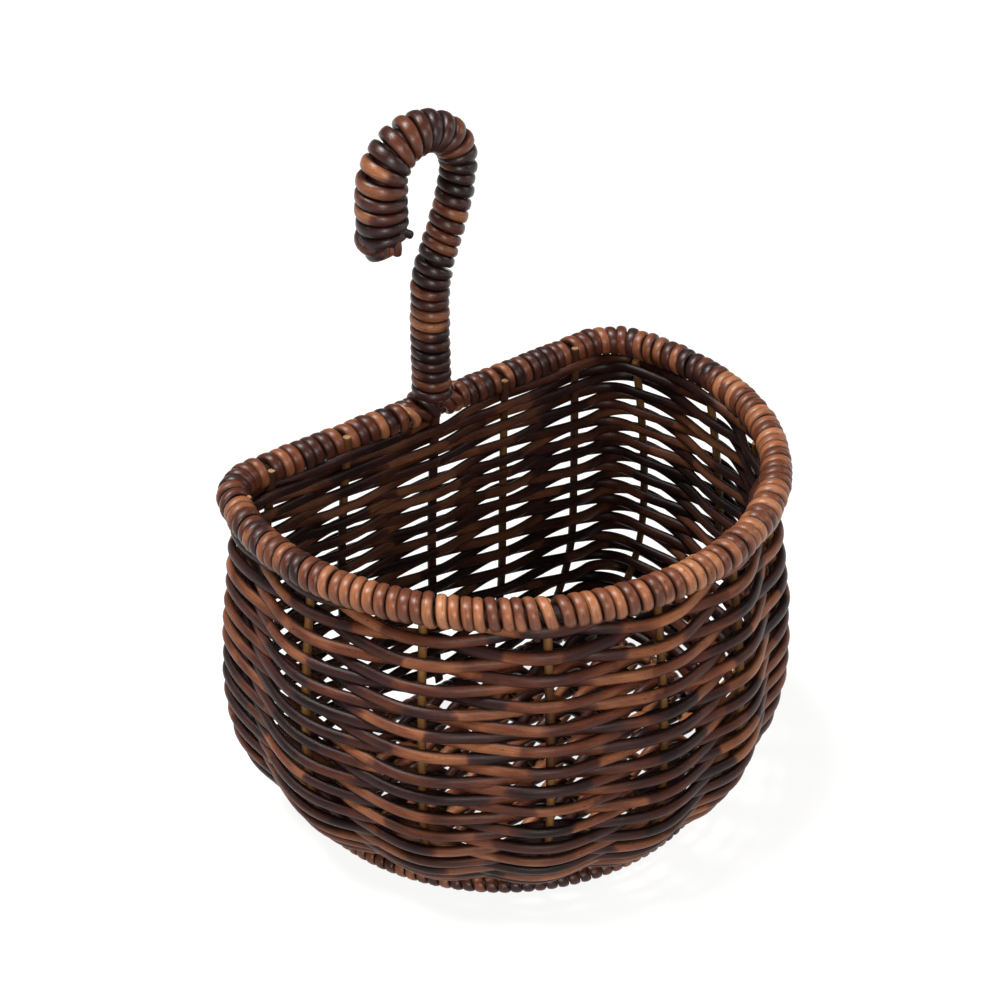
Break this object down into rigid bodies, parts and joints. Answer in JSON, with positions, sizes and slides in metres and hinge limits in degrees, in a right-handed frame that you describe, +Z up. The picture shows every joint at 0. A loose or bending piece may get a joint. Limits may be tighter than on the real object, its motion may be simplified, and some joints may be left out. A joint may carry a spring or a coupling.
{
  "type": "rattan wall basket",
  "caption": "Half-round woven rattan basket with a flat back, a wrapped rim and a tall wrapped crook to hang it on a wall by",
  "frame": {"origin": "on the floor, at the middle of the overall box's bottom face", "axes": "+Z is up; the flat back faces +Y and the round front faces -Y; +X is to the right, seen from the front"},
  "size_m": [0.2448, 0.1805, 0.2894],
  "materials": {
    "weaver": "walnut-stained rattan rod, satin",
    "stake": "thinly stained rattan core, dull",
    "rim_wrap": "walnut-stained rattan strand, lightly glossy",
    "rim_hoop": "stained cane, dull",
    "base_border": "stained cane, dull",
    "base_stick": "thinly stained rattan core, dull",
    "base_weaver": "walnut-stained rattan rod, satin",
    "hook_core": "stained cane, dull",
    "hook_wrap": "walnut-stained rattan strand, lightly glossy"
  },
  "bodies": {
    "root": {"base_border": "base_border", "base_stick_1": "base_stick", "base_stick_2": "base_stick", "base_stick_3": "base_stick", "base_stick_4": "base_stick", "base_stick_5": "base_stick", "base_stick_6": "base_stick", "base_stick_7": "base_stick", "base_weaver": "base_weaver", "hook_core": "hook_core", "hook_lashing_left": "hook_wrap", "hook_lashing_right": "hook_wrap", "hook_wrap": "hook_wrap", "rim_hoop": "rim_hoop", "rim_wrap_01": "rim_wrap", "rim_wrap_02": "rim_wrap", "rim_wrap_03": "rim_wrap", "rim_wrap_04": "rim_wrap", "rim_wrap_05": "rim_wrap", "rim_wrap_06": "rim_wrap", "rim_wrap_07": "rim_wrap", "rim_wrap_08": "rim_wrap", "rim_wrap_09": "rim_wrap", "rim_wrap_10": "rim_wrap", "rim_wrap_11": "rim_wrap", "rim_wrap_12": "rim_wrap", "rim_wrap_13": "rim_wrap", "rim_wrap_14": "rim_wrap", "rim_wrap_15": "rim_wrap", "stake_01": "stake", "stake_02": "stake", "stake_03": "stake", "stake_04": "stake", "stake_05": "stake", "stake_06": "stake", "stake_07": "stake", "stake_08": "stake", "stake_09": "stake", "stake_10": "stake", "stake_11": "stake", "stake_12": "stake", "stake_13": "stake", "stake_14": "stake", "weaver_1": "weaver", "weaver_2": "weaver", "weaver_3": "weaver", "weaver_4": "weaver", "weaver_5": "weaver", "weaver_6": "weaver"}
  },
  "joints": []
}
